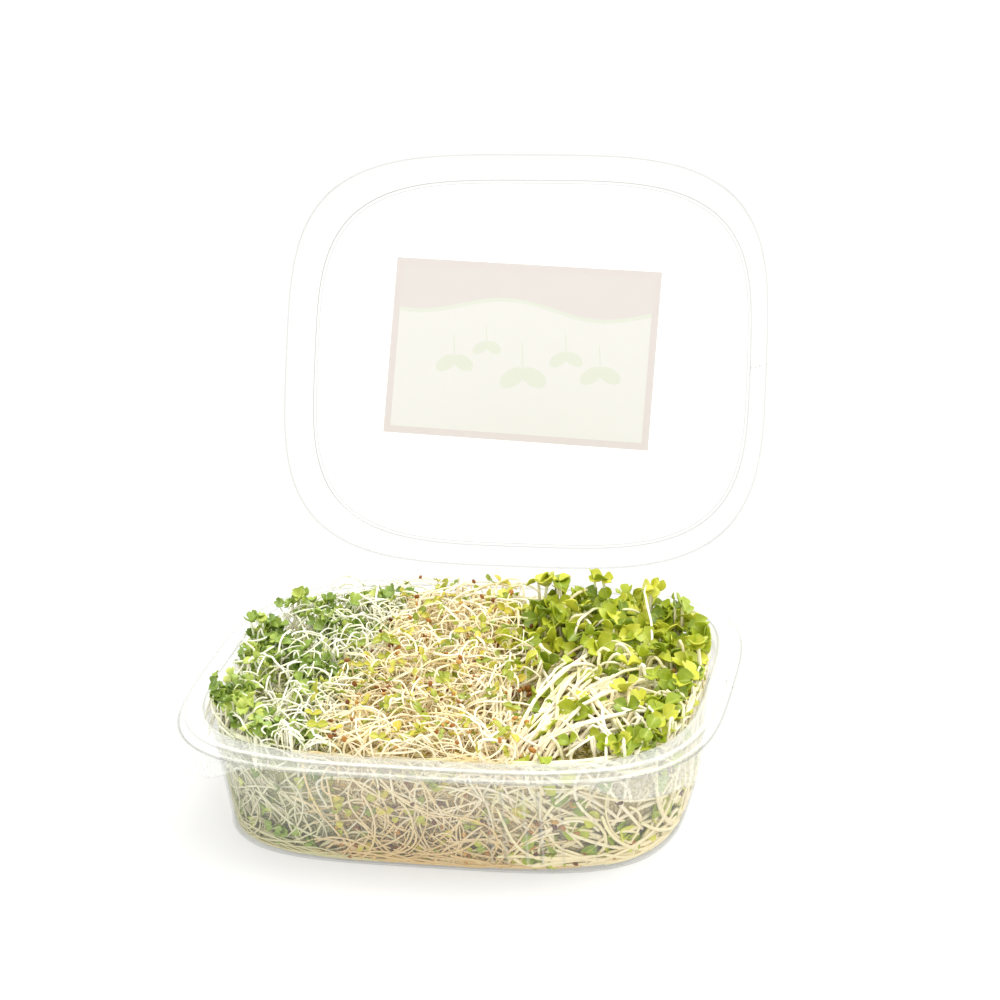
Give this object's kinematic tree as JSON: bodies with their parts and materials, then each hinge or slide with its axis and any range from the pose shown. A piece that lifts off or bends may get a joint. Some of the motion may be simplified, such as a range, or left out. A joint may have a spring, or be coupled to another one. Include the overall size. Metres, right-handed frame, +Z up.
{
  "type": "mixed sprouts",
  "caption": "Mixed sprouts side by side in a clear plastic tray: small green-leaved, curly cream and heart-leaved radish sprouts, with the hinged lid standing open.",
  "frame": {"origin": "middle of the tray's flat underside, on the surface it stands on", "axes": "+Z up; X across the front of the tray; -Y is the front and the lid's hinge runs along X at the back (+Y)"},
  "size_m": [0.189, 0.2364, 0.1907],
  "materials": {
    "clear_tray": "gloss",
    "clear_lid": "gloss",
    "label_paper": "satin",
    "broccoli_green": "satin",
    "alfalfa_cream": "satin",
    "radish_green": "satin"
  },
  "bodies": {
    "tray": {"tray": "clear_tray", "broccoli_sprouts": "broccoli_green", "alfalfa_sprouts": "alfalfa_cream", "radish_sprouts": "radish_green"},
    "lid": {"lid": "clear_lid", "label": "label_paper"}
  },
  "joints": [
    {"name": "lid_hinge", "type": "hinge", "parent": "tray", "child": "lid", "pos_m": [0, 0.0823, 0.0434], "axis": [-1, 0, 0], "range_deg": [-113.7, 66.3]}
  ]
}
